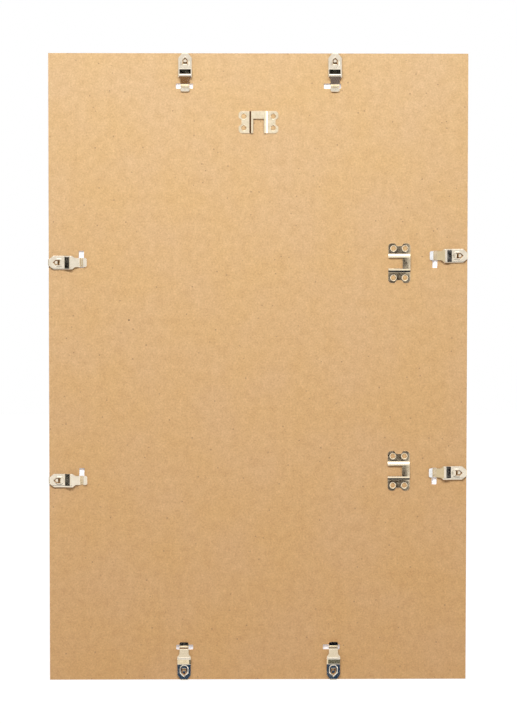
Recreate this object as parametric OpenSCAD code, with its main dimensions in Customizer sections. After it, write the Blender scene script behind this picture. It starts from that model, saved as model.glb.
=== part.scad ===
// Frameless clip frame, 40 x 60 cm, portrait, hung from its back by a nail.
// A glass pane, an insert sheet and a hardboard back are held together by eight spring clips.
// Each clip hooks its lip over the glass and snaps its tail into a slot in the hardboard.
// Three pressed steel hangers are set into the back, one for portrait and two for landscape.
// +Z is up, the glass faces -Y and the back faces +Y, so from the back +X is on the left.
// The origin is the nail seat of the top hanger, on the back face of the hardboard.

/* [Sheets] */
// Width of the three sheets
board_w = 400; // [300:5:600]
// Height of the three sheets
board_h = 600; // [400:5:900]
// Thickness of the hardboard back
board_t = 3; // [2.8:0.1:5]
// Thickness of the insert sheet
insert_t = 0.2; // [0.1:0.05:1]
// Thickness of the glass
glass_t = 2; // [1.5:0.1:4]

/* [Tail slots] */
// Distance of a slot's near side from the board's edge
slot_inset = 28.6; // [27:0.1:40]
// Width of a slot, across the board's edge
slot_w = 5; // [4:0.1:8]
// Room for the tail on each side, along the slot
tail_play = 3.8; // [0.5:0.1:6]
// Radius of a slot's corners
slot_corner_r = 0.6; // [0.2:0.1:1.5]
// Distance of the top and bottom slots from the centre line
slot_x = 70.5; // [50:0.5:110]
// Distance of the side slots above and below the centre line
slot_z = 104; // [50:0.5:160]

/* [Spring clip] */
// Thickness of the spring strip
strip_t = 0.5; // [0.4:0.05:0.7]
// Width of the lip and of the fold round the edge
fold_w = 6.6; // [5:0.1:9]
// Width of the clip's head
head_w = 12.7; // [12:0.1:18]
// Width of the neck and of the tail
neck_w = 8.7; // [6:0.1:11]
// Length of the lip over the glass, to the middle of its bead
lip_len = 4.5; // [3:0.1:5]
// Gap between the bead and the glass
lip_gap = 0.1; // [0.05:0.05:0.2]
// Gap between the fold and the sheets' edges
edge_gap = 0.12; // [0.05:0.01:0.3]
// Height of the head above the hardboard
head_gap = 2; // [1.8:0.1:2.6]
// Distance from the edge at which the head ends and the spring rises
head_len = 15; // [14.5:0.1:16]
// Height of the crest above the hardboard
crest_h = 5; // [4.4:0.1:6]
// Distance from the edge at which the crest starts
crest_from = 20.3; // [19.5:0.1:21]
// Length of the crest
crest_len = 2.4; // [1.6:0.1:3]
// Depth of the tail's groove below the hardboard's back face
groove_depth = 1.9; // [1.2:0.1:2.2]
// Length of the finger tab past the groove
tab_len = 5.1; // [4:0.1:9]
// Height of the finger tab's end above the hardboard
tab_h = 2.3; // [1.5:0.1:4]

/* [Clip emboss and tongue] */
// Width of the pointed emboss on the head
emboss_w = 7.4; // [6.4:0.1:9]
// Height of the emboss above the head
emboss_rise = 0.45; // [0.2:0.05:0.6]
// Distance of the emboss's point from the edge
emboss_from = 2.7; // [2.2:0.1:3.2]
// Width of the opening in the emboss
opening_w = 5; // [4:0.1:5.4]
// Distance of the opening's inner side from the edge
opening_to = 11.2; // [10.8:0.1:12]
// Gap between the pressure tongue and the opening's sides
tongue_gap = 0.5; // [0.3:0.1:0.8]
// Gap between the tongue's toe and the hardboard
toe_gap = 0.15; // [0.1:0.05:0.3]
// Distance of the toe's tip from the edge
toe_from = 5.8; // [5.6:0.1:6.6]

/* [Clip places] */
// How far each clip was pushed along its slot, from one end (-1) to the other (1)
slide_top_left = -0.16; // [-1:0.02:1]
// The same for the top clip on the right
slide_top_right = -0.66; // [-1:0.02:1]
// The same for the bottom clip on the left
slide_bottom_left = 0.18; // [-1:0.02:1]
// The same for the bottom clip on the right
slide_bottom_right = -0.54; // [-1:0.02:1]
// The same for the upper clip of the left side
slide_left_upper = -0.84; // [-1:0.02:1]
// The same for the lower clip of the left side
slide_left_lower = -1; // [-1:0.02:1]
// The same for the upper clip of the right side
slide_right_upper = 1; // [-1:0.02:1]
// The same for the lower clip of the right side
slide_right_lower = 0.92; // [-1:0.02:1]

/* [Hangers] */
// Length of a hanger plate
plate_l = 38; // [37:0.1:46]
// Width of a hanger plate
plate_w = 21.2; // [20:0.1:26]
// Thickness of a hanger plate
plate_t = 0.8; // [0.6:0.05:1]
// Depth of the toothed bar
bar_d = 7.2; // [5:0.1:9]
// Width of the nail opening
nail_w = 10.1; // [7:0.1:11]
// Width of the raised bridge at its foot
bridge_w = 17.1; // [16:0.1:18]
// Height of the bridge's underside above the hardboard
bridge_gap = 2; // [1.5:0.1:3]
// Run of the bridge's slanted sides
riser_run = 1.3; // [1:0.1:1.6]
// Distance between teeth
tooth_pitch = 1.7; // [1:0.1:2.5]
// Height of a tooth
tooth_h = 0.5; // [0.3:0.1:0.8]
// Corner radius of the plate
plate_corner_r = 3.4; // [2:0.1:3.6]
// Depth of the notch in each short end
end_notch = 2.7; // [1:0.1:3.2]
// Distance between collars along the plate
collar_l = 28.1; // [27:0.1:29]
// Distance between collars across the plate
collar_w = 11.1; // [10:0.1:12]
// Diameter of the hardboard core inside a collar
core_d = 4; // [3:0.1:4.2]
// Wall of a collar
collar_t = 0.6; // [0.4:0.05:0.7]
// Depth of a collar in the hardboard
collar_depth = 2.2; // [1:0.1:2.4]
// Gap between a collar and its groove, all round
collar_fit = 0.05; // [0.03:0.01:0.1]
// Width of the rounded mouth round each collar's hole
mouth_w = 1.1; // [0.6:0.1:1.2]
// Distance of a hanger plate from the nearest edge of the board
hanger_inset = 54.7; // [48:0.1:90]
// Distance of the upper side hanger above the centre line
side_upper_z = 100.5; // [60:0.1:140]
// Distance of the lower side hanger below the centre line
side_lower_z = 98.7; // [60:0.1:140]

/* [Hidden] */

$fn = 64;
eps = 0.01;
past = 1;
arc_steps = 8;

top_z = hanger_inset + bar_d;
mid_z = top_z - board_h / 2;
bottom_z = top_z - board_h;
stack_t = board_t + insert_t + glass_t;

// The clip's side profile, as distance from the board's edge and height above its back face
bead_r = strip_t;
bead_h = -stack_t - lip_gap - bead_r;
fold_u = -edge_gap - strip_t / 2;
head_c = head_gap + strip_t / 2;
crest_c = crest_h - strip_t / 2;
crest_to = crest_from + crest_len;
groove_u = slot_inset + slot_w / 2;
neck_foot = [groove_u - 1.8, 1];
groove_foot = [groove_u, strip_t / 2 - groove_depth];
tab_root = [groove_u + 1.6, 0.75];
tab_end = [groove_u + tab_len, tab_h];
lip_bend_r = 0.7;
fold_bend_r = 0.9;
rise_bend_r = 1.2;
crest_bend_r = 1.9;
neck_bend_r = 1;
groove_bend_r = 0.7;
tab_bend_r = 0.8;

// The clip's plan, as half widths against distance from the edge
chamfer_from = 0.7;
chamfer_to = chamfer_from + (head_w - fold_w) / 2 + 0.7;
shoulder_u = crest_to - 0.3;
neck_u = shoulder_u + (head_w - neck_w) / 2 + 0.6;
plan_bend_r = 1.2;
neck_fillet_r = 2.2;
tab_corner_r = 1.6;

// The tongue is level with the emboss at its root and flat on its toe
tongue_root_c = head_c + emboss_rise;
tongue_w = opening_w - 2 * tongue_gap;
toe_c = toe_gap + strip_t / 2;
toe_len = 2.6;
toe_r = 1.5;
tongue_bend_r = 0.6;

slot_len = neck_w + 2 * tail_play;
slot_end_gap = 0.2;
slide_room = tail_play - slot_end_gap;

plate_mid = plate_w / 2 - bar_d;
bridge_c = bridge_gap + plate_t / 2;
riser_bend_r = 0.7;
lobe_w = 6.6;
notch_side = 1.5;
collar_id = core_d + 2 * collar_fit;
collar_od = collar_id + 2 * collar_t;
groove_od = collar_od + 2 * collar_fit;
teeth = 2 * max(1, round(nail_w / tooth_pitch / 2));

function unit(v) = v / norm(v);
function left_of(v) = unit([-v.y, v.x]);
function reversed(list) = [for (i = [len(list) - 1:-1:0]) list[i]];
function mirrored(list) = [for (p = list) [-p.x, p.y]];

// The corner b between a and c as an arc of radius r, moved sideways to the left of the path
function bend(a, b, c, r, shift) =
  let (
    p = unit(a - b),
    q = unit(c - b),
    half = acos(p * q) / 2,
    way = sign(cross(b - a, c - b)),
    mid = b + unit(p + q) * r / sin(half),
    from = b + p * r / tan(half) - mid,
    start = atan2(from.y, from.x),
    turn = way * (180 - 2 * half),
    reach = r - way * shift
  )
  [for (i = [0:arc_steps]) mid + reach * [cos(start + turn * i / arc_steps), sin(start + turn * i / arc_steps)]];

// A path of corners, each [u, h, radius], moved sideways to the left
function side_line(path, shift) =
  let (
    xy = [for (p = path) [p.x, p.y]],
    last = len(path) - 1
  )
  concat(
    [xy[0] + shift * left_of(xy[1] - xy[0])],
    [for (i = [1:last - 1]) each bend(xy[i - 1], xy[i], xy[i + 1], path[i].z, shift)],
    [xy[last] + shift * left_of(xy[last] - xy[last - 1])]
  );

// A strip of sheet metal bent along a path, seen from the side
module bent_strip(path, thickness)
  polygon(concat(side_line(path, thickness / 2), reversed(side_line(path, -thickness / 2))));

// The same strip as a solid, drawn in local Y and Z and as wide as given along X
module bent_sheet(path, thickness, width)
  rotate([90, 0, 90])
    translate([0, 0, -width / 2])
      linear_extrude(width)
        bent_strip(path, thickness);

// Puts a piece drawn from the edge inward (Y) and outward from the back face (Z) at each edge
module at_top(x)
  translate([x, 0, top_z]) rotate([-90, 0, 0]) children();
module at_bottom(x)
  translate([x, 0, bottom_z]) rotate([0, 180, 0]) rotate([-90, 0, 0]) children();
module at_left(z)
  translate([board_w / 2, 0, mid_z + z]) rotate([0, 90, 0]) rotate([-90, 0, 0]) children();
module at_right(z)
  translate([-board_w / 2, 0, mid_z + z]) rotate([0, -90, 0]) rotate([-90, 0, 0]) children();

module sheet(front, thickness)
  translate([-board_w / 2, front, bottom_z])
    cube([board_w, thickness, board_h]);

module glass_pane()
  color("azure", 0.5)
    sheet(-stack_t, glass_t);

module insert_sheet()
  color("white")
    sheet(-board_t - insert_t, insert_t);

// A punched slot for a clip's tail, with small round corners
module tail_slot() {
  inner_l = slot_len - 2 * slot_corner_r;
  inner_w = slot_w - 2 * slot_corner_r;
  translate([0, groove_u, -board_t - past])
    linear_extrude(board_t + 2 * past)
      union() {
        square([slot_len, inner_w], center = true);
        square([inner_l, slot_w], center = true);
        for (x = [-inner_l / 2, inner_l / 2], y = [-inner_w / 2, inner_w / 2])
          translate([x, y])
            circle(slot_corner_r);
      }
}

// Runs its children at each collar of a hanger, with the nail seat at the origin
module at_collars()
  for (x = [-collar_l / 2, collar_l / 2], y = [-collar_w / 2, collar_w / 2])
    translate([x, plate_mid + y, 0])
      children();

module collar_grooves()
  at_collars()
    translate([0, 0, -collar_depth - collar_fit])
      difference() {
        cylinder(h = collar_depth + collar_fit + past, d = groove_od);
        translate([0, 0, -eps])
          cylinder(h = collar_depth + collar_fit + past + 2 * eps, d = core_d);
      }

// A hanger's nail seat, at its distance from the nearest edge
module seat()
  translate([0, hanger_inset + bar_d, 0])
    children();

module backboard()
  color("burlywood")
    difference() {
      sheet(-board_t, board_t);
      for (x = [-slot_x, slot_x]) {
        at_top(x) tail_slot();
        at_bottom(x) tail_slot();
      }
      for (z = [-slot_z, slot_z]) {
        at_left(z) tail_slot();
        at_right(z) tail_slot();
      }
      at_top(0) seat() collar_grooves();
      at_right(side_upper_z) seat() collar_grooves();
      at_right(-side_lower_z) seat() collar_grooves();
    }

// The clip's outline seen from the back, from the fold to the rounded finger tab
module clip_plan() {
  half = [
    [fold_w / 2, fold_u - strip_t, 0],
    [fold_w / 2, chamfer_from, plan_bend_r],
    [head_w / 2, chamfer_to, plan_bend_r],
    [head_w / 2, shoulder_u, plan_bend_r],
    [neck_w / 2, neck_u, neck_fillet_r],
    [neck_w / 2, tab_end.x + strip_t / 2, tab_corner_r],
    [0, tab_end.x + strip_t / 2, 0]
  ];
  edge = side_line(half, 0);
  polygon(concat(edge, mirrored(reversed(edge))));
}

// The emboss's outline, pointed towards the edge and round inside, drawn in by an inset
module emboss_plan(inset) {
  half_w = emboss_w / 2 - inset;
  point_u = emboss_from + inset * sqrt(2);
  round_u = head_len - emboss_w / 2;
  polygon([[0, point_u], [half_w, point_u + half_w], [half_w, round_u], [-half_w, round_u], [-half_w, point_u + half_w]]);
  translate([0, round_u])
    circle(half_w);
}

// The opening inside the emboss, pointed towards the edge and straight at the tongue's root
module opening_plan() {
  half_w = opening_w / 2;
  point_u = emboss_from + (emboss_w - opening_w) / 2 * sqrt(2) - 0.4;
  polygon([[0, point_u], [half_w, point_u + half_w], [half_w, opening_to], [-half_w, opening_to], [-half_w, point_u + half_w]]);
}

// The pressure tongue's outline, from its root in the emboss to its round toe
module tongue_plan() {
  root_u = opening_to + 2 * strip_t;
  toe_u = toe_from + toe_r;
  polygon([[tongue_w / 2, root_u], [tongue_w / 2, opening_to - past], [toe_r, toe_u], [-toe_r, toe_u], [-tongue_w / 2, opening_to - past], [-tongue_w / 2, root_u]]);
  translate([0, toe_u])
    circle(toe_r);
}

module tongue() {
  root_u = opening_to + 2 * strip_t;
  path = [
    [root_u, tongue_root_c, 0],
    [opening_to - strip_t / 2, tongue_root_c, tongue_bend_r],
    [toe_from + toe_len, toe_c, tongue_bend_r],
    [toe_from, toe_c, 0]
  ];
  intersection() {
    bent_sheet(path, strip_t, opening_w);
    linear_extrude(head_gap + crest_h)
      tongue_plan();
  }
}

// One spring clip: lip, fold, embossed head, crest, neck, groove and finger tab in one strip.
// The lip ends in a rolled bead, on whose line the clip rocks when its tail is lifted.
module spring_clip() {
  path = [
    [lip_len, bead_h, 0],
    [fold_u, bead_h, lip_bend_r],
    [fold_u, head_c, fold_bend_r],
    [head_len, head_c, rise_bend_r],
    [crest_from, crest_c, crest_bend_r],
    [crest_to, crest_c, crest_bend_r],
    [neck_foot.x, neck_foot.y, neck_bend_r],
    [groove_foot.x, groove_foot.y, groove_bend_r],
    [tab_root.x, tab_root.y, tab_bend_r],
    [tab_end.x, tab_end.y, 0]
  ];
  color("silver")
    union() {
      difference() {
        union() {
          intersection() {
            bent_sheet(path, strip_t, head_w + 2 * past);
            union() {
              translate([-fold_w / 2, fold_u - strip_t, bead_h - bead_r - past])
                cube([fold_w, lip_len - fold_u + strip_t + past, stack_t + bead_r]);
              translate([0, 0, bead_h + stack_t - past])
                linear_extrude(stack_t + crest_h)
                  clip_plan();
            }
          }
          translate([-fold_w / 2, lip_len, bead_h])
            rotate([0, 90, 0])
              cylinder(h = fold_w, r = bead_r);
          translate([0, 0, head_gap + strip_t / 2])
            linear_extrude(strip_t / 2 + emboss_rise)
              emboss_plan(0);
        }
        translate([0, 0, head_gap - past])
          linear_extrude(past + emboss_rise)
            emboss_plan(strip_t);
        translate([0, 0, head_gap - past])
          linear_extrude(past + 2 * strip_t + emboss_rise)
            opening_plan();
      }
      tongue();
    }
}

module clip_top_left()
  at_top(slot_x + slide_top_left * slide_room) spring_clip();
module clip_top_right()
  at_top(-slot_x + slide_top_right * slide_room) spring_clip();
module clip_bottom_left()
  at_bottom(slot_x + slide_bottom_left * slide_room) spring_clip();
module clip_bottom_right()
  at_bottom(-slot_x + slide_bottom_right * slide_room) spring_clip();
module clip_left_upper()
  at_left(slot_z + slide_left_upper * slide_room) spring_clip();
module clip_left_lower()
  at_left(-slot_z + slide_left_lower * slide_room) spring_clip();
module clip_right_upper()
  at_right(slot_z + slide_right_upper * slide_room) spring_clip();
module clip_right_lower()
  at_right(-slot_z + slide_right_lower * slide_room) spring_clip();

// The hanger plate's outline: round corners and a notch in each short end, between the collars
module plate_plan() {
  near = -bar_d;
  far = plate_w - bar_d;
  half_l = plate_l / 2;
  half = [
    [0, near, 0],
    [half_l, near, plate_corner_r],
    [half_l, near + lobe_w, 2],
    [half_l - end_notch, near + lobe_w + notch_side, 1.4],
    [half_l - end_notch, far - lobe_w - notch_side, 1.4],
    [half_l, far - lobe_w, 2],
    [half_l, far, plate_corner_r],
    [0, far, 0]
  ];
  edge = side_line(half, 0);
  polygon(concat(edge, mirrored(reversed(edge))));
}

// The nail opening, with a row of teeth on the bar's edge and open on the far side
module nail_plan() {
  step = nail_w / teeth;
  row = [for (i = [0:teeth - 1]) each [[-nail_w / 2 + i * step, 0], [-nail_w / 2 + (i + 0.5) * step, tooth_h]]];
  polygon(concat(row, [[nail_w / 2, 0], [nail_w / 2, plate_w], [-nail_w / 2, plate_w]]));
}

// One hanger: a plate with a raised bridge for the nail and four collars into the hardboard
module hanger() {
  path = [
    [-plate_l / 2 - past, plate_t / 2, 0],
    [-bridge_w / 2, plate_t / 2, riser_bend_r],
    [riser_run - bridge_w / 2, bridge_c, riser_bend_r],
    [bridge_w / 2 - riser_run, bridge_c, riser_bend_r],
    [bridge_w / 2, plate_t / 2, riser_bend_r],
    [plate_l / 2 + past, plate_t / 2, 0]
  ];
  color("gainsboro")
    difference() {
      union() {
        intersection() {
          translate([0, plate_w, 0])
            rotate([90, 0, 0])
              linear_extrude(2 * plate_w)
                bent_strip(path, plate_t);
          linear_extrude(bridge_gap + 2 * plate_t)
            plate_plan();
        }
        at_collars()
          translate([0, 0, -collar_depth])
            cylinder(h = collar_depth + plate_t / 2, d = collar_od);
      }
      at_collars() {
        translate([0, 0, -collar_depth - past])
          cylinder(h = collar_depth + plate_t + 2 * past, d = collar_id);
        translate([0, 0, plate_t / 4])
          cylinder(h = plate_t * 3 / 4 + eps, d1 = collar_id, d2 = collar_id + 2 * mouth_w);
      }
      translate([0, 0, -past])
        linear_extrude(bridge_gap + 2 * plate_t + 2 * past)
          nail_plan();
    }
}

module hanger_top()
  at_top(0) seat() hanger();
module hanger_side_upper()
  at_right(side_upper_z) seat() hanger();
module hanger_side_lower()
  at_right(-side_lower_z) seat() hanger();

glass_pane();
insert_sheet();
backboard();
clip_top_left();
clip_top_right();
clip_bottom_left();
clip_bottom_right();
clip_left_upper();
clip_left_lower();
clip_right_upper();
clip_right_lower();
hanger_top();
hanger_side_upper();
hanger_side_lower();
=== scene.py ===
import math

import bmesh
import bpy
from mathutils import Matrix, Vector


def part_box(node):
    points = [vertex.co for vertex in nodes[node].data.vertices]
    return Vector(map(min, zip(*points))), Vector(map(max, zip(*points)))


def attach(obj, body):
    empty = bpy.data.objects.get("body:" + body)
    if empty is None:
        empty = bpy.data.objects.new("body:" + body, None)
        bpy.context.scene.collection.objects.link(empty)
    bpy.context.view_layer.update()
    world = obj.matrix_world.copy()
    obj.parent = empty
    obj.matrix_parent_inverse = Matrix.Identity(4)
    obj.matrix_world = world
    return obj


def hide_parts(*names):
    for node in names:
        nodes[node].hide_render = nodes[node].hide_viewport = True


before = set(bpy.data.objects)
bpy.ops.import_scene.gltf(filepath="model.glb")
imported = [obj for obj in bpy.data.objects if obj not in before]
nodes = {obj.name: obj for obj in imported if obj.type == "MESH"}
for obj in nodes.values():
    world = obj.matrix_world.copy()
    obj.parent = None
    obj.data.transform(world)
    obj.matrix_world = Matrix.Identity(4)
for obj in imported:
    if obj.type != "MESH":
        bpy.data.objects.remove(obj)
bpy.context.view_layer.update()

MM = 0.001


# The glass pane is 2 mm float glass, cut to the size of the sheets. Its edges are seamed, so that
# a narrow ground bevel runs round both faces. It lies at the front, and the clips' beads press on it.
def choose(piece):
    """Makes piece the only selected object, and the active one."""
    bpy.ops.object.select_all(action="DESELECT")
    piece.select_set(True)
    bpy.context.view_layer.objects.active = piece


def open_mesh(piece):
    """Opens the piece's mesh for shaping."""
    choose(piece)
    bpy.ops.object.mode_set(mode="EDIT")


def close_mesh():
    """Ends the shaping of the open mesh."""
    bpy.ops.object.mode_set(mode="OBJECT")


def start_plate(name, left, right, near, far, level):
    """A flat rectangle in X and Y, opened for shaping."""
    bpy.ops.object.select_all(action="DESELECT")
    middle = ((left + right) / 2, (near + far) / 2, level)
    bpy.ops.mesh.primitive_plane_add(size=1, location=middle)
    plate = bpy.context.object
    plate.name = name
    plate.scale = (right - left, far - near, 1)
    bpy.ops.object.transform_apply()
    open_mesh(plate)
    return plate


def pull(x=0.0, y=0.0, z=0.0):
    """Extrudes what is selected and moves it."""
    bpy.ops.mesh.extrude_region_move(TRANSFORM_OT_translate={"value": (x, y, z)})


def hex_colour(code):
    """An sRGB hex value as the linear colour that a shader takes."""
    channels = [int(code[i:i + 2], 16) / 255 for i in (0, 2, 4)]
    return [c / 12.92 if c <= 0.04045 else ((c + 0.055) / 1.055) ** 2.4 for c in channels] + [1]


def new_material(name):
    """A named material and its shader."""
    material = bpy.data.materials.new(name)
    material.use_nodes = True
    return material, material.node_tree.nodes["Principled BSDF"]


def give(piece, material):
    """Makes material the piece's only one."""
    piece.data.materials.clear()
    piece.data.materials.append(material)


# A film of air keeps the glass off the paper
air_film = 0.03 * MM
arris = 0.5 * MM
low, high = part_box("glass_pane")
glass_t = high.y - low.y - air_film
glass_pane = start_plate("float_glass_pane", low.x, high.x, low.z, high.z, 0)
bpy.ops.mesh.select_all(action="SELECT")
pull(z=glass_t)
bpy.ops.mesh.select_all(action="SELECT")
bpy.ops.mesh.normals_make_consistent(inside=False)
bpy.ops.mesh.bevel(offset=arris, segments=2)
close_mesh()
upright = Matrix.Rotation(math.radians(90), 4, "X")
glass_pane.matrix_world = Matrix.Translation((0, high.y - air_film, 0)) @ upright
bpy.ops.object.transform_apply()

# Soda-lime float glass: fire-polished faces, clear with a faint green in its thickness
float_glass, shader = new_material("soda-lime float glass")
shader.inputs["Base Color"].default_value = hex_colour("FBFDFC")
shader.inputs["Transmission Weight"].default_value = 1
shader.inputs["IOR"].default_value = 1.52
shader.inputs["Roughness"].default_value = 0.02
give(glass_pane, float_glass)
glass_pane.visible_shadow = False
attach(glass_pane, "frame")
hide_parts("glass_pane")


# The insert is a sheet of white paper, 0.2 mm thick, that backs the picture. From behind it shows
# only through the tail slots.
def add_node(owner, kind, settings, **links):
    """Adds a shader node to a material or to the world.

    Settings go to its sockets or properties, stops to its colour ramp, and links join its inputs to
    other outputs.
    """
    node = owner.node_tree.nodes.new("ShaderNode" + kind)
    for name, value in settings.items():
        if name == "stops":
            for stop, (position, code) in zip(node.color_ramp.elements, value):
                stop.position = position
                stop.color = hex_colour(code)
        elif isinstance(name, str) and hasattr(node, name):
            setattr(node, name, value)
        else:
            node.inputs[name].default_value = value
    for name, source in links.items():
        socket = int(name[1:]) if name[0] == "_" else name.replace("_", " ")
        owner.node_tree.links.new(source, node.inputs[socket])
    return node


# Uncoated paper of bleached pulp: matt white, and very slightly uneven where its fibres lie closer
paper, shader = new_material("uncoated white paper")
place = add_node(paper, "TexCoord", {}).outputs["Object"]
pulp_size = 0.6 * MM
pulp = add_node(paper, "TexNoise", {"Scale": 1 / pulp_size, "Detail": 3}, Vector=place)
whites = add_node(paper, "ValToRGB", {"stops": [(0, "F4F5F6"), (1, "FCFDFE")]}, Fac=pulp.outputs["Fac"])
paper.node_tree.links.new(whites.outputs["Color"], shader.inputs["Base Color"])
shader.inputs["Roughness"].default_value = 0.75
# Painted light: the sheet glows faintly of itself, in place of daylight soaking through it from the glass
# side
shader.inputs["Emission Color"].default_value = hex_colour("F4F8FF")
shader.inputs["Emission Strength"].default_value = 0.25
give(nodes["insert_sheet"], paper)


# The back is 3 mm hardboard with its smooth face out, sawn to size. Eight slots are punched through it
# for the clips' tails, and ring grooves are pressed into it for the hangers' collars.
board_low, board_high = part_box("backboard")

# Refined wood pulp, hot pressed: matt tan, mottled in soft patches with fine fibres and dark bark specks.
# The fibres are really finer than 0.5 mm, and are drawn as coarse as they need to be to show.
board, shader = new_material("tempered smooth hardboard")
place = add_node(board, "TexCoord", {}).outputs["Object"]
cloud_size = 60 * MM
patch_size = 9 * MM
fibre_size = 1.6 * MM
clouds = add_node(board, "TexNoise", {"Scale": 1 / cloud_size, "Detail": 2, "Roughness": 0.5}, Vector=place)
patches = add_node(board, "TexNoise", {"Scale": 1 / patch_size, "Detail": 4, "Roughness": 0.62},
                   Vector=place)
fibres = add_node(board, "TexNoise", {"Scale": 1 / fibre_size, "Detail": 2, "Roughness": 0.6,
                                      "Distortion": 0.6}, Vector=place)
tans = add_node(board, "ValToRGB", {"stops": [(0.3, "DAB280"), (0.7, "E6C18F")]}, Fac=patches.outputs["Fac"])
warmth = add_node(board, "ValToRGB", {"stops": [(0.35, "FFFBF2"), (0.65, "FFFDFF")]},
                  Fac=clouds.outputs["Fac"])
threads = add_node(board, "ValToRGB", {"stops": [(0.28, "E6DFD6"), (0.74, "FFFFFF")]},
                   Fac=fibres.outputs["Fac"])
tinted = add_node(board, "Mix", {"data_type": "RGBA", "blend_type": "MULTIPLY", 0: 1},
                  _6=tans.outputs["Color"], _7=warmth.outputs["Color"])
fibrous = add_node(board, "Mix", {"data_type": "RGBA", "blend_type": "MULTIPLY", 0: 1},
                   _6=tinted.outputs[2], _7=threads.outputs["Color"])
# Painted shade: the colour turns a little browner towards the bottom end, where the light falls off
sides = add_node(board, "SeparateXYZ", {}, Vector=place)
pressed = add_node(board, "MapRange", {"From Min": board_high.z, "From Max": board_low.z},
                   Value=sides.outputs["Z"])
painted_shade_towards_bottom = add_node(board, "Mix", {"data_type": "RGBA", "blend_type": "MULTIPLY", 7: hex_colour("FFF3E6")},
                   _0=pressed.outputs["Result"], _6=fibrous.outputs[2])


def add_specks(below, pitch, width, share, colour):
    """Small dark fragments over the colour below, one in that share of the cells of a grid of that pitch."""
    cells = add_node(board, "TexVoronoi", {"Scale": 1 / pitch}, Vector=place)
    chosen = add_node(board, "Math", {"operation": "LESS_THAN", 1: share}, _0=cells.outputs["Color"])
    core = 0.25 * width / pitch
    fringe = 0.6 * width / pitch
    spot = add_node(board, "MapRange", {"From Min": core, "From Max": fringe, "To Min": 1, "To Max": 0},
                    Value=cells.outputs["Distance"])
    amount = add_node(board, "Math", {"operation": "MULTIPLY"},
                      _0=chosen.outputs[0], _1=spot.outputs["Result"])
    return add_node(board, "Mix", {"data_type": "RGBA", 7: hex_colour(colour)},
                    _0=amount.outputs[0], _6=below).outputs[2]


specked = add_specks(painted_shade_towards_bottom.outputs[2], pitch=8 * MM, width=1.6 * MM, share=0.6, colour="AE8257")
barked = add_specks(specked, pitch=34 * MM, width=1.8 * MM, share=0.2, colour="6E4A2C")
grain_depth = 0.08 * MM
grain = add_node(board, "Bump", {"Strength": 0.35, "Distance": grain_depth}, Height=fibres.outputs["Fac"])
board.node_tree.links.new(barked, shader.inputs["Base Color"])
board.node_tree.links.new(grain.outputs["Normal"], shader.inputs["Normal"])
shader.inputs["Roughness"].default_value = 0.55
give(nodes["backboard"], board)


# A spring clip is one strip of hardened spring steel, 0.5 mm thick and nickel plated. Its blank is punched
# out, the head embossed and its tongue pressed down, then the strip is bent to shape. Its lip hooks over
# the glass, its tongue presses on the hardboard, and its tail snaps into a slot.

# One clip is made lying flat, as the strip's middle plane: X runs across it, Y from the sheets' edge
# towards the tail, and Z is the height above the hardboard
strip_t = 0.5 * MM
fold_w = 6.6 * MM
head_w = 12.7 * MM
neck_w = 8.7 * MM
lip_end = 4.5 * MM
bead_h = -5.8 * MM
bead_r = strip_t
edge_y = -0.37 * MM
head_h = 2.25 * MM
head_end = 15 * MM
crest_h = 4.75 * MM
crest_from = 20.3 * MM
crest_to = 21.5 * MM
neck_foot = Vector((0, 29.3, 1)) * MM
groove_foot = Vector((0, 31.1, -1.65)) * MM
tab_root = Vector((0, 32.7, 0.75)) * MM
tab_end = Vector((0, 36.2, 2.3)) * MM
chamfer_from = 0.7 * MM
chamfer_to = chamfer_from + (head_w - fold_w) / 2 + 0.7 * MM
front = chamfer_from - 0.45 * MM
# The strip stays wide until just past the crest, then slopes in to the neck
shoulder = crest_to + 0.8 * MM
neck_from = shoulder + (head_w - neck_w) / 2 + 0.6 * MM
blank_end = tab_end.y + strip_t / 2
# Sheet beyond the outline, for the punch to cut away
spare = 1 * MM
# Points this near to a line are on it, and points this near to each other are one
touch = 0.01 * MM
weld = 0.02 * MM


def pick(kind, test):
    """Selects the vertices, edges or faces of the open mesh whose corners all pass the test."""
    mesh = bmesh.from_edit_mesh(bpy.context.object.data)
    bpy.ops.mesh.select_mode(type=kind)
    bpy.ops.mesh.select_all(action="DESELECT")
    parts = {"VERT": mesh.verts, "EDGE": mesh.edges, "FACE": mesh.faces}[kind]
    for part in parts:
        corners = [part] if kind == "VERT" else part.verts
        if all(test(corner.co) for corner in corners):
            part.select_set(True)
    bmesh.update_edit_mesh(bpy.context.object.data)


def near_to(y, z):
    """A test for points on one line across the strip."""
    return lambda p: abs(p.y - y) < touch and abs(p.z - z) < touch


def score(x=None, y=None):
    """Splits the open mesh along a line of constant X or Y."""
    bpy.ops.mesh.select_all(action="SELECT")
    if x is None:
        bpy.ops.mesh.bisect(plane_co=(0, y, 0), plane_no=(0, 1, 0))
    else:
        bpy.ops.mesh.bisect(plane_co=(x, 0, 0), plane_no=(1, 0, 0))


def weld_all():
    """Joins all points of the open mesh that lie on one spot."""
    bpy.ops.mesh.select_all(action="SELECT")
    bpy.ops.mesh.remove_doubles(threshold=weld)


def bend(before, corner, after, radius):
    """Rounds the fold across the strip at corner, as a bending tool of that radius leaves it."""
    turn = (corner - before).angle(after - corner)
    degrees_a_step = 9
    steps = max(3, round(math.degrees(turn) / degrees_a_step))
    pick("EDGE", near_to(corner.y, corner.z))
    bpy.ops.mesh.bevel(offset=radius * math.tan(turn / 2), segments=steps)


def fold_along(path, radii):
    """Pulls the strip's end edge on along path, then rounds each corner."""
    for here, there in zip(path[1:], path[2:]):
        pick("EDGE", near_to(here.y, here.z))
        pull(y=there.y - here.y, z=there.z - here.z)
    for before, corner, after, radius in zip(path, path[1:], path[2:], radii):
        bend(before, corner, after, radius)


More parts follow.
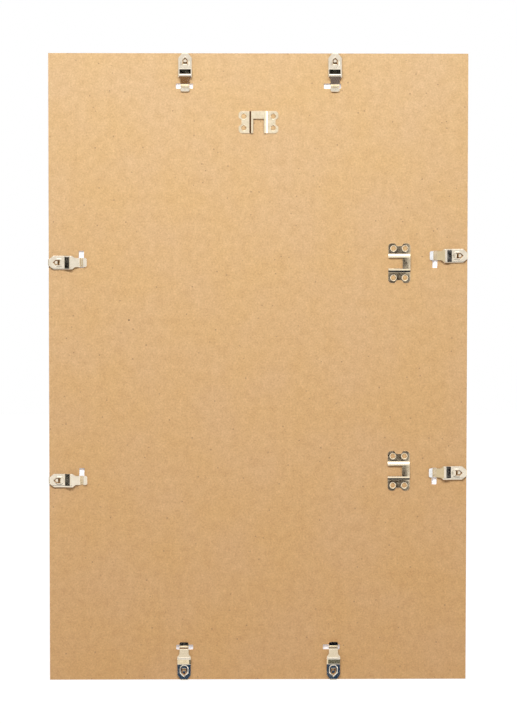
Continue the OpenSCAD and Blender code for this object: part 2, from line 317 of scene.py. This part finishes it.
def plan_punch(stations, bottom, top):
    """A punch as wide as its stations say: each is a place along Y, a half width and a corner radius."""
    start_w = 1 * MM
    punch = start_plate("punch", -start_w / 2, start_w / 2, stations[0][0], stations[1][0], bottom)
    for y, half, radius in stations[:2]:
        pick("VERT", lambda p: abs(p.y - y) < touch)
        bpy.ops.transform.resize(value=(2 * half / start_w, 1, 1), center_override=(0, 0, 0))
    for before, here in zip(stations[1:], stations[2:]):
        pick("EDGE", lambda p: abs(p.y - before[0]) < touch)
        pull(y=here[0] - before[0])
        bpy.ops.transform.resize(value=(here[1] / before[1], 1, 1), center_override=(0, 0, 0))
    weld_all()
    bpy.ops.mesh.dissolve_limited(angle_limit=math.radians(0.5))
    for y, half, radius in stations:
        if radius > 0:
            pick("VERT", lambda p: abs(p.y - y) < touch)
            mesh = bmesh.from_edit_mesh(punch.data)
            corner = next(vertex for vertex in mesh.verts if vertex.select)
            ways = [edge.other_vert(corner).co - corner.co for edge in corner.link_edges]
            turn = math.pi - ways[0].angle(ways[1])
            bpy.ops.mesh.bevel(offset=radius * math.tan(turn / 2), segments=6, affect="VERTICES")
    bpy.ops.mesh.select_all(action="SELECT")
    pull(z=top - bottom)
    close_mesh()
    return punch


def press(piece, punch):
    """Cuts the sheet along the punch's outline and leaves what lies inside it selected."""
    # Two materials tell the sheet's faces from the tool's, once both are one mesh
    give(piece, bpy.data.materials.get("sheet") or bpy.data.materials.new("sheet"))
    give(punch, bpy.data.materials.get("tool") or bpy.data.materials.new("tool"))
    bottom = min(vertex.co.z for vertex in punch.data.vertices)
    ends = [[punch.data.vertices[i].co.copy() for i in edge.vertices] for edge in punch.data.edges]
    cut_line = [(a, b) for a, b in ends if max(a.z, b.z) < bottom + touch]
    choose(piece)
    punch.select_set(True)
    bpy.ops.object.join()
    open_mesh(piece)
    bpy.ops.mesh.select_mode(type="FACE")
    # The tool's faces first cut the sheet, and are then cleared away
    for step in ("cut", "clear"):
        bpy.ops.mesh.select_all(action="DESELECT")
        mesh = bmesh.from_edit_mesh(piece.data)
        for face in mesh.faces:
            face.select_set(face.material_index == 1)
        bmesh.update_edit_mesh(piece.data)
        if step == "cut":
            bpy.ops.mesh.intersect(mode="SELECT_UNSELECT", separate_mode="ALL", solver="FAST")
        else:
            bpy.ops.mesh.delete(type="FACE")
    weld_all()
    bpy.ops.mesh.dissolve_degenerate(threshold=weld)
    bpy.ops.mesh.select_all(action="SELECT")
    bpy.ops.mesh.delete_loose()
    bpy.ops.mesh.select_all(action="DESELECT")
    # A face lies inside if a line to one side, from the middle of its widest triangle, crosses the
    # outline an odd number of times
    mesh = bmesh.from_edit_mesh(piece.data)
    widest = {}
    for triangle in mesh.calc_loop_triangles():
        a, b, c = [loop.vert.co for loop in triangle]
        size = (b - a).cross(c - a).length
        if size > widest.get(triangle[0].face, (0, None))[0]:
            widest[triangle[0].face] = (size, (a + b + c) / 3)
    for face, (size, spot) in widest.items():
        crossed = [(b.x - a.x) * (spot.y - a.y) / (b.y - a.y) + a.x > spot.x
                   for a, b in cut_line if (a.y > spot.y) != (b.y > spot.y)]
        face.select_set(sum(crossed) % 2 == 1)
    bmesh.update_edit_mesh(piece.data)


# The blank's side view, bent from the head to the finger tab
tab_rise = (tab_end.z - tab_root.z) / (tab_end.y - tab_root.y)
side_view = [
    Vector((0, front, head_h)),
    Vector((0, head_end, head_h)),
    Vector((0, crest_from, crest_h)),
    Vector((0, crest_to, crest_h)),
    neck_foot,
    groove_foot,
    tab_root,
    tab_end + Vector((0, 1, tab_rise)) * spare,
]
bend_radii = [1.2 * MM, 2.4 * MM, 1.5 * MM, 1 * MM, 0.7 * MM, 0.8 * MM]
clip = start_plate("clip", -head_w / 2 - spare, head_w / 2 + spare, front, head_end, head_h)
fold_along(side_view, bend_radii)

# The rolling mill leaves the wide part of the strip slightly crowned, lower along both sides
crown_w = 2 * MM
crown_drop = 0.28 * MM
crown_edge = head_w / 2 + 0.2 * MM
crown_lines = (0.66, 0.33, 0)
for share in (1, *crown_lines):
    score(x=crown_edge - crown_w * share)
    score(x=-crown_edge + crown_w * share)
for share in crown_lines:
    pick("VERT", lambda p: abs(abs(p.x) - (crown_edge - crown_w * share)) < touch)
    bpy.ops.transform.translate(value=(0, 0, -crown_drop * (1 - share) ** 2))
pick("VERT", lambda p: abs(p.x) > head_w / 2 + spare / 2)
bpy.ops.transform.translate(value=(0, 0, -crown_drop * 2))

# The blank's outline: narrow at the fold, wide at the head and narrower again at the neck and tail
blank_r = 1.2 * MM
neck_r = 2.2 * MM
tab_r = 1.6 * MM
blank = [
    (front - 0.2 * MM, fold_w / 2, 0),
    (chamfer_from, fold_w / 2, blank_r),
    (chamfer_to, head_w / 2, blank_r),
    (shoulder, head_w / 2, blank_r),
    (neck_from, neck_w / 2, neck_r),
    (blank_end, neck_w / 2, tab_r),
]
close_mesh()
press(clip, plan_punch(blank, bottom=-3 * MM, top=7 * MM))
bpy.ops.mesh.select_all(action="INVERT")
bpy.ops.mesh.delete(type="FACE")

# The emboss stiffens the head: a flat-topped rise with soft shoulders, pointed towards the edge and
# round inside. Where a punch's outline comes to a point, it is still this wide to each side.
point = 0.0004 * MM
emboss_w = 8.2 * MM
emboss_from = 2.4 * MM
emboss_to = 14.45 * MM
emboss_rise = 0.45 * MM
rim_run = 0.75 * MM
rim_steps = 6
emboss = [
    (emboss_from, point, 0),
    (emboss_from + emboss_w / 2, emboss_w / 2, 0),
    (emboss_to, emboss_w / 2, emboss_w / 2 - 0.3 * MM),
]
score(y=(emboss_from + emboss_to) / 2)
close_mesh()
press(clip, plan_punch(emboss, bottom=head_h - 0.5 * MM, top=head_h + 0.5 * MM))
bpy.ops.mesh.remove_doubles(threshold=weld)
risen = 0
for step in range(rim_steps):
    rise = emboss_rise * (1 - math.cos(math.pi * (step + 1) / rim_steps)) / 2
    bpy.ops.mesh.inset(thickness=rim_run / rim_steps, depth=rise - risen)
    risen = rise
weld_all()

# The opening, pointed towards the edge and straight at the tongue's root
opening_w = 5 * MM
opening_from = 4 * MM
opening_to = 11.2 * MM
opening_r = 0.8 * MM
tongue_w = 4 * MM
top_h = head_h + emboss_rise
opening = [
    (opening_from, point, 0),
    (opening_from + opening_w / 2, opening_w / 2, opening_r),
    (opening_to, opening_w / 2, 0),
]
close_mesh()
press(clip, plan_punch(opening, bottom=top_h - 0.2 * MM, top=top_h + 0.2 * MM))
bpy.ops.mesh.delete(type="FACE")
weld_all()
score(x=tongue_w / 2)
score(x=-tongue_w / 2)

# The tongue slants down from its root to a round toe, just clear of the hardboard
toe_h = 0.4 * MM
toe_from = 5.8 * MM
toe_bend = toe_from + 2.6 * MM
toe_r = 1.5 * MM
tongue_r = 0.6 * MM
root = Vector((0, opening_to, top_h))
knee = Vector((0, opening_to - strip_t / 2, top_h))
toe = Vector((0, toe_bend, toe_h))
tip = Vector((0, toe_from, toe_h))
pick("EDGE", lambda p: near_to(root.y, root.z)(p) and abs(p.x) < tongue_w / 2 + touch)
pull(y=knee.y - root.y)
pull(y=toe.y - knee.y, z=toe.z - knee.z)
bpy.ops.transform.resize(value=(2 * toe_r / tongue_w, 1, 1), center_override=toe)
pull(y=tip.y - toe.y)
bend(root, knee, toe, tongue_r)
bend(knee, toe, tip, tongue_r)
pick("VERT", near_to(tip.y, tip.z))
# A little under the toe's radius, so that the two rounded corners stay apart
bpy.ops.mesh.bevel(offset=toe_r * 0.99, segments=8, affect="VERTICES")

# The fold round the sheets' edge and the lip, drawn from the head's narrow front end
fold = [
    Vector((0, head_end, head_h)),
    Vector((0, edge_y, head_h)),
    Vector((0, edge_y, bead_h)),
    Vector((0, lip_end, bead_h)),
]
fold_radii = [0.9 * MM, 0.7 * MM]
pick("VERT", lambda p: p.y < front + touch)
bpy.ops.transform.translate(value=(0, edge_y - front, 0))
fold_along(fold, fold_radii)
weld_all()
bpy.ops.mesh.normals_make_consistent(inside=False)
close_mesh()


def thicken(piece, thickness, edge_r, even=False):
    """Gives the sheet its thickness to both sides and rounds its edges, as tumbling leaves them."""
    wall = piece.modifiers.new("thickness", "SOLIDIFY")
    wall.thickness = thickness
    wall.offset = 0
    wall.use_even_offset = even
    rounding = piece.modifiers.new("tumbled edges", "BEVEL")
    rounding.width = edge_r
    rounding.segments = 2
    rounding.limit_method = "ANGLE"
    rounding.angle_limit = math.radians(50)
    for modifier in (wall, rounding):
        bpy.ops.object.modifier_apply(modifier=modifier.name)


def smooth_bends(piece):
    """Shades the bends and rounded edges smoothly and leaves the flat faces flat."""
    bpy.ops.object.shade_smooth_by_angle(angle=math.radians(32))
    weights = piece.modifiers.new("flat faces stay flat", "WEIGHTED_NORMAL")
    weights.keep_sharp = True
    bpy.ops.object.modifier_apply(modifier=weights.name)


thicken(clip, strip_t, edge_r=0.09 * MM)

# The lip's end is curled into a bead, so that it can't scratch the glass
bpy.ops.object.select_all(action="DESELECT")
bpy.ops.mesh.primitive_cylinder_add(vertices=24, radius=bead_r, depth=fold_w,
                                    location=(0, lip_end, bead_h), rotation=(0, math.radians(90), 0))
bead = bpy.context.object
bpy.ops.object.transform_apply()
open_mesh(bead)
pick("FACE", lambda p: abs(abs(p.x) - fold_w / 2) < touch)
bpy.ops.mesh.bevel(offset=0.12 * MM, segments=2)
close_mesh()
choose(clip)
bead.select_set(True)
bpy.ops.object.join()
smooth_bends(clip)


def plate_with_nickel(name, colour, dull_colour, wave_size, wave_height, roughness):
    """Bright nickel whose surface waves over wave_size, with duller smudges between the polished places."""
    nickel, shader = new_material(name)
    place = add_node(nickel, "TexCoord", {}).outputs["Object"]
    smudge_size = 5 * MM
    clean = 0.35
    smudged = 0.7
    waves = add_node(nickel, "TexNoise", {"Scale": 1 / wave_size, "Detail": 1}, Vector=place)
    smudges = add_node(nickel, "TexNoise", {"Scale": 1 / smudge_size, "Detail": 5, "Roughness": 0.7},
                       Vector=place)
    dull = add_node(nickel, "MapRange", {"From Min": clean, "From Max": smudged, "To Min": roughness,
                                         "To Max": roughness + 0.06}, Value=smudges.outputs["Fac"])
    tint = add_node(nickel, "ValToRGB", {"stops": [(clean, colour), (smudged, dull_colour)]},
                    Fac=smudges.outputs["Fac"])
    relief = add_node(nickel, "Bump", {"Strength": 1, "Distance": wave_height}, Height=waves.outputs["Fac"])
    nickel.node_tree.links.new(tint.outputs["Color"], shader.inputs["Base Color"])
    nickel.node_tree.links.new(dull.outputs["Result"], shader.inputs["Roughness"])
    nickel.node_tree.links.new(relief.outputs["Normal"], shader.inputs["Normal"])
    shader.inputs["Metallic"].default_value = 1
    return nickel


def set_in_place(original, name, spot, turn):
    """A copy with its own mesh, stood against the upright back at spot and turned by that many degrees."""
    copy = original.copy()
    copy.data = original.data.copy()
    copy.name = name
    bpy.context.scene.collection.objects.link(copy)
    choose(copy)
    raised = Matrix.Rotation(math.radians(-90), 4, "X")
    copy.matrix_world = Matrix.Translation(spot) @ Matrix.Rotation(math.radians(turn), 4, "Y") @ raised
    bpy.ops.object.transform_apply()
    return copy


# Nickel plate on spring steel: bright and slightly warm. Bending and hardening leave it faintly wavy, and
# handling leaves dull smudges.
spring_nickel = plate_with_nickel("bright nickel plate on spring steel", "EEE2CE", "E0D4BE",
                                  wave_size=4 * MM, wave_height=0.008 * MM, roughness=0.04)

for name in [n for n in nodes if n.startswith("clip_")]:
    low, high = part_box(name)
    middle = (low + high) / 2
    edges = {
        "top": ((middle.x, 0, board_high.z), 0),
        "bottom": ((middle.x, 0, board_low.z), 180),
        "left": ((board_high.x, 0, middle.z), 90),
        "right": ((board_low.x, 0, middle.z), -90),
    }
    spot, turn = edges[name.split("_")[1]]
    copy = set_in_place(clip, name.replace("clip_", "spring_clip_"), spot, turn)
    give(copy, spring_nickel)
    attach(copy, name)
    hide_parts(name)
bpy.data.objects.remove(clip)


# A hanger is pressed from 0.8 mm steel sheet and nickel plated. Its bridge stands off the hardboard, so
# that a nail's head goes behind its toothed bar. Four holes are drawn into collars, which are pressed
# into the hardboard.
plate_t = 0.8 * MM
# From the plate's outer edge to where the nail meets the bar
bar_d = 7.2 * MM
low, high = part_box("hanger_top")
plate_l = high.x - low.x
plate_w = high.z - low.z

# Its side view, from one end over the bridge to the other end, again as the plate's middle plane
plate_h = plate_t / 2
bridge_l = 17.1 * MM
bridge_h = 2.25 * MM
riser_run = 1.8 * MM
riser_r = 0.7 * MM
leg_h = 2 * MM
leg_end = 5.4 * MM
profile = [
    Vector((0, -plate_l / 2 - spare, plate_h)),
    Vector((0, -bridge_l / 2, plate_h)),
    Vector((0, riser_run - bridge_l / 2, leg_h)),
    Vector((0, -leg_end, bridge_h)),
    Vector((0, leg_end, bridge_h)),
    Vector((0, bridge_l / 2 - riser_run, leg_h)),
    Vector((0, bridge_l / 2, plate_h)),
    Vector((0, plate_l / 2 + spare, plate_h)),
]
sheet_half = plate_w / 2 + spare
hanger = start_plate("hanger", -sheet_half, sheet_half, profile[0].y, profile[1].y, plate_h)
fold_along(profile, [riser_r] * 6)
close_mesh()
# It is turned to lie along X, with Y = 0 where the nail meets the bar
plate_mid = plate_w / 2 - bar_d
crosswise = Matrix.Rotation(math.radians(90), 4, "Z")
hanger.matrix_world = Matrix.Translation((0, plate_mid, 0)) @ crosswise
bpy.ops.object.transform_apply()

# Its outline: two lobes at each end, with a notch between them
near = -bar_d
far = plate_w - bar_d
lobe_w = 6.6 * MM
lobe_r = 2 * MM
notch_side = 1.5 * MM
notch_depth = 2.7 * MM
notch_r = 1.4 * MM
corner_r = 3.4 * MM
plate_outline = [
    (near, plate_l / 2, corner_r),
    (near + lobe_w, plate_l / 2, lobe_r),
    (near + lobe_w + notch_side, plate_l / 2 - notch_depth, notch_r),
    (far - lobe_w - notch_side, plate_l / 2 - notch_depth, notch_r),
    (far - lobe_w, plate_l / 2, lobe_r),
    (far, plate_l / 2, corner_r),
]
under = -1 * MM
over = 4 * MM
press(hanger, plan_punch(plate_outline, bottom=under, top=over))
bpy.ops.mesh.select_all(action="INVERT")
bpy.ops.mesh.delete(type="FACE")
close_mesh()

# The nail opening, with a row of teeth along the bar
nail_w = 10.1 * MM
teeth = 6
tooth_h = 0.5 * MM
half_tooth = nail_w / teeth / 2
punch = start_plate("punch", -nail_w / 2, nail_w / 2, 0, far + spare, under)
pick("EDGE", lambda p: p.y < touch)
bpy.ops.mesh.subdivide(number_cuts=2 * teeth - 1)
pick("VERT", lambda p: p.y < touch and round((p.x + nail_w / 2) / half_tooth) % 2 == 1)
bpy.ops.transform.translate(value=(0, tooth_h, 0))
bpy.ops.mesh.select_all(action="SELECT")
pull(z=over - under)
close_mesh()
press(hanger, punch)
bpy.ops.mesh.delete(type="FACE")

# Each hole is punched small and then drawn down into a collar with a round mouth
collar_l = 28.1 * MM
collar_w = 11.1 * MM
collar_r = 2.05 * MM
collar_depth = 2.2 * MM
mouth_r = 0.7 * MM
drawn_r = collar_r + plate_t / 2
rim_count = 40
punch_h = 2 * MM
hole_centres = [Vector((x * collar_l / 2, plate_mid + y * collar_w / 2, 0))
                for x in (-1, 1) for y in (-1, 1)]
score(y=plate_mid - collar_w / 2)
score(y=plate_mid + collar_w / 2)
close_mesh()
for centre in hole_centres:
    bpy.ops.object.select_all(action="DESELECT")
    bpy.ops.mesh.primitive_circle_add(vertices=rim_count, radius=drawn_r, fill_type="NGON",
                                      location=centre + Vector((0, 0, under)),
                                      rotation=(0, 0, math.pi / rim_count))
    punch = bpy.context.object
    bpy.ops.object.transform_apply()
    open_mesh(punch)
    pull(z=punch_h)
    close_mesh()
    press(hanger, punch)
    bpy.ops.mesh.delete(type="FACE")
    close_mesh()


def on_rim(p):
    """Whether a point lies on the edge of one of the drawn holes, in the plate's middle plane."""
    return abs(p.z - plate_h) < weld and any(
        abs((p - centre).xy.length - drawn_r) < weld for centre in hole_centres)


open_mesh(hanger)
weld_all()
pick("EDGE", on_rim)
pull(z=-collar_depth - plate_h)
pick("EDGE", on_rim)
bpy.ops.mesh.bevel(offset=mouth_r, segments=6)
bpy.ops.mesh.select_all(action="SELECT")
bpy.ops.mesh.normals_make_consistent(inside=False)
close_mesh()
thicken(hanger, plate_t, edge_r=0.13 * MM, even=True)
smooth_bends(hanger)

# Nickel plate on mild steel: the same bright metal, flatter than the springs
sheet_nickel = plate_with_nickel("bright nickel plate on pressed sheet", "F8E8CA", "E8D6B6",
                                 wave_size=6 * MM, wave_height=0.01 * MM, roughness=0.05)

for name in [n for n in nodes if n.startswith("hanger_")]:
    low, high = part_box(name)
    if high.x - low.x > high.z - low.z:
        spot, turn = ((low.x + high.x) / 2, 0, high.z - bar_d), 0
    else:
        spot, turn = (low.x + bar_d, 0, (low.z + high.z) / 2), -90
    copy = set_in_place(hanger, name.replace("hanger_", "pressed_hanger_"), spot, turn)
    give(copy, sheet_nickel)
    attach(copy, "frame")
    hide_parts(name)
bpy.data.objects.remove(hanger)


# The studio is a plain pale room. The frame hangs in it above the floor, with its back to the camera and
# to a soft box above the camera's line. None of it is part of the frame.
def unscattered_view(owner):
    """Is 1 for what the camera sees, also in metal and through glass, and 0 after a matt surface."""
    ray = add_node(owner, "LightPath", {}).outputs
    seen = add_node(owner, "Math", {"operation": "MAXIMUM"},
                    _0=ray["Is Camera Ray"], _1=ray["Is Glossy Ray"])
    through = add_node(owner, "Math", {"operation": "MAXIMUM"},
                       _0=seen.outputs[0], _1=ray["Is Transmission Ray"])
    straight = add_node(owner, "Math", {"operation": "LESS_THAN", 1: 0.5}, _0=ray["Diffuse Depth"])
    view = add_node(owner, "Math", {"operation": "MULTIPLY"}, _0=through.outputs[0], _1=straight.outputs[0])
    return view.outputs[0]


# Matt paint: pale under the lamps, and lifted to white where the camera sees it, apart from shadows
floor_z = -1.4
floor_lift = 0.68
bpy.ops.object.select_all(action="DESELECT")
bpy.ops.mesh.primitive_plane_add(size=30, location=(0, 0, floor_z))
floor = bpy.context.object
floor.name = "studio_floor"
pale, shader = new_material("pale studio floor")
lift = add_node(pale, "Math", {"operation": "MULTIPLY", 1: floor_lift}, _0=unscattered_view(pale))
pale.node_tree.links.new(lift.outputs[0], shader.inputs["Emission Strength"])
shader.inputs["Emission Color"].default_value = hex_colour("FFFFFF")
shader.inputs["Base Color"].default_value = hex_colour("E2E6EE")
shader.inputs["Roughness"].default_value = 0.8
give(floor, pale)


def add_card(name, corner, across, up, colour, light=1.0):
    """A card with edges across and up from corner. Only reflections show it, in its colour times light."""
    corner, across, up = [Vector(v) for v in (corner, across, up)]
    bpy.ops.object.select_all(action="DESELECT")
    bpy.ops.mesh.primitive_plane_add(size=1, location=(0, 0, 0))
    card = bpy.context.object
    card.name = name
    spread = Matrix((across, up, across.cross(up).normalized())).transposed().to_4x4()
    card.matrix_world = Matrix.Translation(corner + (across + up) / 2) @ spread
    matt, shader = new_material(name + " card")
    shader.inputs["Base Color"].default_value = hex_colour("000000")
    shader.inputs["Roughness"].default_value = 1
    shader.inputs["Specular IOR Level"].default_value = 0
    shader.inputs["Emission Color"].default_value = hex_colour(colour)
    shader.inputs["Emission Strength"].default_value = light
    give(card, matt)
    card.visible_camera = False
    card.visible_diffuse = False
    card.visible_transmission = False
    card.visible_shadow = False


# What the bright metal mirrors. High and to the sides, dark flags and pale panels give the slopes their
# dark and white bands.
add_card("flag_top", (-1.2, 4, 4.9), (2.4, 0, 0), (0, 0, 2.6), "0A0806")
add_card("beige_high", (-1.2, 4, 2.8), (2.4, 0, 0), (0, 0, 0.7), "F4EEE2")
add_card("flag_left", (1.43, 1, -0.7), (0.4, 0, 0), (0, 0, 0.8), "0A0806")
add_card("beige_left", (0.72, 1, -0.7), (0.3, 0, 0), (0, 0, 0.8), "E8DCC2")
add_card("flag_right", (-1.95, 1, -0.7), (0.41, 0, 0), (0, 0, 0.8), "0A0806")
add_card("window_right", (-1.52, 1, -0.7), (0.16, 0, 0), (0, 0, 0.8), "DCE8FF", 1.6)
# Mats on the floor give the lower clips and the plates their brown, grey and navy patches
mat_z = floor_z + 0.01
add_card("mat_brown", (0, 1.13, mat_z), (0.6, 0, 0), (0, 0.24, 0), "8E6C4D")
add_card("mat_grey", (-0.6, 1.13, mat_z), (0.6, 0, 0), (0, 0.24, 0), "796F6F")
add_card("mat_beige", (0, 0.45, mat_z), (0.6, 0, 0), (0, 0.1, 0), "FFF6E0")
add_card("mat_green", (-0.6, 0.45, mat_z), (0.6, 0, 0), (0, 0.1, 0), "77776A")
add_card("mat_dark", (-0.6, 0.553, mat_z), (1.2, 0, 0), (0, 0.11, 0), "0A0E1A")
add_card("mat_navy", (-0.6, 0, mat_z), (1.2, 0, 0), (0, 0.42, 0), "18202E")
# Bright faces and dark edges all round give the bends their glints and lines
add_card("softbox_face", (-0.37, 1.17, 0.7), (0.9, 0, 0), (0, -0.12, 0.27), "FFFFFF", 2.5)
add_card("window_high", (-0.8, 4, 1.6), (1.6, 0, 0), (0, 0, 0.9), "FFFFFF", 3)
add_card("panel_brown", (3, 0.05, -0.8), (0, 0.8, 0), (0, 0, 1.4), "5A3A1E")
add_card("panel_white", (-3, 0, -0.8), (0, 1.2, 0), (0, 0, 1.4), "FFFFFF", 2.6)
add_card("ceiling_white", (-1, 0, 3), (2, 0, 0), (0, 1.2, 0), "FFFFFF", 2.5)
add_card("camera_stand", (-0.456, 4, -1), (0.16, 0, 0), (0, 0, 0.9), "32261A")
add_card("table_edge", (-2.8, 4, -1.3), (5.6, 0, 0), (0, 0, 0.3), "2A4464")


def add_lamp(name, spot, aim, size, watts):
    """A soft box of size metres at spot, turned to aim."""
    data = bpy.data.lights.new(name, "AREA")
    data.shape = "RECTANGLE"
    data.size, data.size_y = size
    data.energy = watts
    lamp = bpy.data.objects.new(name, data)
    bpy.context.scene.collection.objects.link(lamp)
    lamp.location = spot
    lamp.rotation_euler = (Vector(aim) - Vector(spot)).to_track_quat("-Z", "Y").to_euler()
    return lamp


# Metal mirrors the softbox_face card in place of the lamp itself
key = add_lamp("key_softbox", (0.08, 1.15, 0.55), aim=(0, 0, -0.15), size=(0.9, 0.3), watts=17.1)
key.data.color = (0.9, 1, 1.12)
key.visible_glossy = False
add_lamp("front_fill", (0.6, -2.6, 1.2), aim=(0, 0, -0.24), size=(2, 2), watts=22)

# The white backdrop is for what the camera sees, also in metal and through glass. Light that a matt surface
# has scattered meets the plain warm level of the room instead, even where it comes through the glass.
room_level = 0.42
room_tone = (1, 0.93, 0.83, 1)
world = bpy.data.worlds.new("studio")
world.use_nodes = True
bpy.context.scene.world = world
backdrop = unscattered_view(world)
level = add_node(world, "MapRange", {"To Min": room_level, "To Max": 1}, Value=backdrop)
tone = add_node(world, "Mix", {"data_type": "RGBA", 6: room_tone, 7: hex_colour("FFFFFF")}, _0=backdrop)
background = world.node_tree.nodes["Background"]
world.node_tree.links.new(level.outputs["Result"], background.inputs["Strength"])
world.node_tree.links.new(tone.outputs[2], background.inputs["Color"])

# The camera stands 3 m behind the frame, with a long lens
camera_data = bpy.data.cameras.new("photo_camera")
camera_data.lens = 155.7
camera = bpy.data.objects.new("photo_camera", camera_data)
bpy.context.scene.collection.objects.link(camera)
camera.location = (0.0608, 2.9907, -0.0608)
camera.rotation_euler = [math.radians(a) for a in (86.719, -0.047, 178.834)]
bpy.context.scene.camera = camera

bpy.context.scene.view_settings.view_transform = "Standard"
